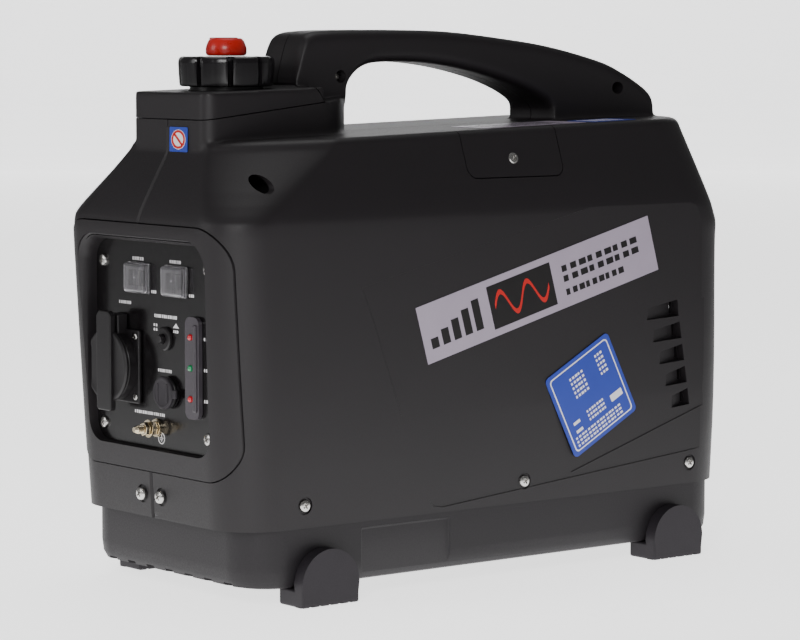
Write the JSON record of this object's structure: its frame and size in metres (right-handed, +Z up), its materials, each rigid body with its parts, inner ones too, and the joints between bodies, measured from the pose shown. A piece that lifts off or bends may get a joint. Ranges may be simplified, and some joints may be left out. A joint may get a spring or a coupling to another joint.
{
  "type": "inverter generator",
  "caption": "Portable suitcase-style petrol inverter generator with carry handle, control panel, fuel cap, recoil starter and rubber feet.",
  "frame": {"origin": "centre of the footprint, on the ground under the rubber feet", "axes": "+Z up, -Y towards the front with the control panel, +X towards the right side with the spark plug cover"},
  "size_m": [0.22, 0.4653, 0.38],
  "materials": {
    "housing_plastic": "fine-textured moulded ABS, charcoal black",
    "base_plastic": "fine-textured moulded ABS, black",
    "inner_plastic": "plain moulded nylon",
    "panel_plastic": "gloss black polycarbonate fascia with white printed marks",
    "tank_plastic": "blow-moulded polyethylene",
    "cap_plastic": "satin-gloss black moulded nylon",
    "knob_plastic": "red moulded plastic",
    "foot_rubber": "matte black moulded rubber",
    "switch_plastic": "black moulded nylon",
    "socket_plastic": "black moulded thermoplastic",
    "cap_rubber": "soft black rubber",
    "lever_plastic": "black moulded nylon",
    "boot_vinyl": "clear soft vinyl boot",
    "hose_rubber": "fuel-proof black rubber",
    "mount_rubber": "black anti-vibration rubber",
    "filter_foam": "oiled grey foam",
    "coil_resin": "potted black resin",
    "cast_alloy": "as-cast aluminium",
    "pressed_steel": "black painted pressed steel",
    "forged_steel": "ground steel",
    "plated_screw": "bright zinc-plated steel",
    "brass_stud": "nickel-brass stud and nuts",
    "stator_copper": "enamelled copper windings on laminations",
    "rotor_steel": "machined steel rotor cup",
    "heat_steel": "heat-resistant painted steel, slightly browned",
    "plug_ceramic": "glazed white insulator",
    "lamp_window": "smoked lamp window"
  },
  "bodies": {
    "root": {"ac_socket": "socket_plastic", "air_cleaner_case": "inner_plastic", "air_cleaner_element": "filter_foam", "alternator_stator": "stator_copper", "base_pan": "base_plastic", "carburettor": "cast_alloy", "control_panel": "panel_plastic", "crankcase": "cast_alloy", "cylinder_head": "cast_alloy", "dc_breaker": "switch_plastic", "dc_socket": "socket_plastic", "earth_terminal": "brass_stud", "eco_switch_boot": "boot_vinyl", "eco_switch_frame": "switch_plastic", "engine_mount_1": "mount_rubber", "engine_mount_2": "mount_rubber", "engine_mount_3": "mount_rubber", "engine_mount_4": "mount_rubber", "engine_switch_boot": "boot_vinyl", "engine_switch_frame": "switch_plastic", "filler_cover": "housing_plastic", "front_bezel": "housing_plastic", "front_left_foot": "foot_rubber", "front_left_screw": "plated_screw", "front_right_foot": "foot_rubber", "front_right_screw": "plated_screw", "fuel_hose": "hose_rubber", "fuel_tank": "tank_plastic", "ignition_coil": "coil_resin", "indicator_strip": "lamp_window", "inverter_unit": "cast_alloy", "left_handle_half": "housing_plastic", "left_shell": "housing_plastic", "maintenance_cover": "housing_plastic", "muffler": "heat_steel", "rear_cover": "housing_plastic", "rear_left_foot": "foot_rubber", "rear_right_foot": "foot_rubber", "recoil_housing": "inner_plastic", "right_handle_half": "housing_plastic", "right_shell": "housing_plastic", "rocker_cover": "pressed_steel", "service_cover": "housing_plastic", "spark_plug": "plug_ceramic", "spark_plug_cap": "hose_rubber"},
    "fuel_cap": {"fuel_cap": "cap_plastic"},
    "cap_vent_knob": {"cap_vent_knob": "knob_plastic"},
    "ac_socket_lid": {"ac_socket_lid": "socket_plastic"},
    "dc_socket_cap": {"dc_socket_cap": "cap_rubber"},
    "engine_switch_rocker": {"engine_switch_rocker": "switch_plastic"},
    "eco_switch_rocker": {"eco_switch_rocker": "switch_plastic"},
    "dc_breaker_button": {"dc_breaker_button": "switch_plastic"},
    "choke_knob": {"choke_knob": "lever_plastic"},
    "fuel_cock_knob": {"fuel_cock_knob": "lever_plastic"},
    "starter_grip": {"starter_grip": "lever_plastic"},
    "recoil_pulley": {"recoil_pulley": "lever_plastic"},
    "crankshaft": {"crankshaft": "forged_steel", "alternator_rotor": "rotor_steel", "cooling_fan": "inner_plastic"},
    "oil_filler_cap": {"oil_filler_cap": "lever_plastic"}
  },
  "joints": [
    {"name": "fuel_cap_turn", "type": "hinge", "parent": "root", "child": "fuel_cap", "pos_m": [0, -0.157, 0.3618], "axis": [0, 0, 1], "range_deg": [0, 360]},
    {"name": "vent_knob_turn", "type": "hinge", "parent": "fuel_cap", "child": "cap_vent_knob", "pos_m": [0, -0.157, 0.3621], "axis": [0, 0, 1], "range_deg": [0, 90]},
    {"name": "ac_lid_hinge", "type": "hinge", "parent": "root", "child": "ac_socket_lid", "pos_m": [-0.041, -0.2286, 0.1875], "axis": [-1, 0, 0], "range_deg": [0, 100], "stiffness_Nm_per_rad": 0.03, "springref_deg": -20.05},
    {"name": "dc_cap_hinge", "type": "hinge", "parent": "root", "child": "dc_socket_cap", "pos_m": [0.029, -0.2196, 0.138], "axis": [0, 0, 1], "range_deg": [0, 120]},
    {"name": "engine_switch_tip", "type": "hinge", "parent": "root", "child": "engine_switch_rocker", "pos_m": [-0.0185, -0.213, 0.213], "axis": [0, 0, 1], "range_deg": [0, 20]},
    {"name": "eco_switch_tip", "type": "hinge", "parent": "root", "child": "eco_switch_rocker", "pos_m": [0.026, -0.213, 0.213], "axis": [0, 0, 1], "range_deg": [0, 20]},
    {"name": "breaker_push", "type": "slide", "parent": "root", "child": "dc_breaker_button", "axis": [0, 1, 0], "range_m": [0, 0.003]},
    {"name": "choke_turn", "type": "hinge", "parent": "root", "child": "choke_knob", "pos_m": [-0.104, -0.05, 0.243], "axis": [1, 0, 0], "range_deg": [0, 75]},
    {"name": "fuel_cock_turn", "type": "hinge", "parent": "root", "child": "fuel_cock_knob", "pos_m": [-0.104, -0.11, 0.243], "axis": [1, 0, 0], "range_deg": [0, 90]},
    {"name": "starter_pull", "type": "slide", "parent": "root", "child": "starter_grip", "axis": [-1, 0, 0], "range_m": [0, 0.5], "stiffness_N_per_m": 12, "springref_m": -0.05},
    {"name": "pulley_spin", "type": "hinge", "parent": "root", "child": "recoil_pulley", "pos_m": [-0.085, 0.03, 0.108], "axis": [1, 0, 0], "range_deg": [-10, 1000]},
    {"name": "crankshaft_spin", "type": "hinge", "parent": "root", "child": "crankshaft", "pos_m": [0, 0.03, 0.108], "axis": [1, 0, 0], "continuous": true},
    {"name": "oil_cap_turn", "type": "hinge", "parent": "root", "child": "oil_filler_cap", "pos_m": [-0.008, -0.03332, 0.09124], "axis": [0, -0.8, 0.6], "range_deg": [0, 360]}
  ],
  "couplings": [
    {"joint": "pulley_spin", "follows": "starter_pull", "rad_per_m": 33.333}
  ]
}
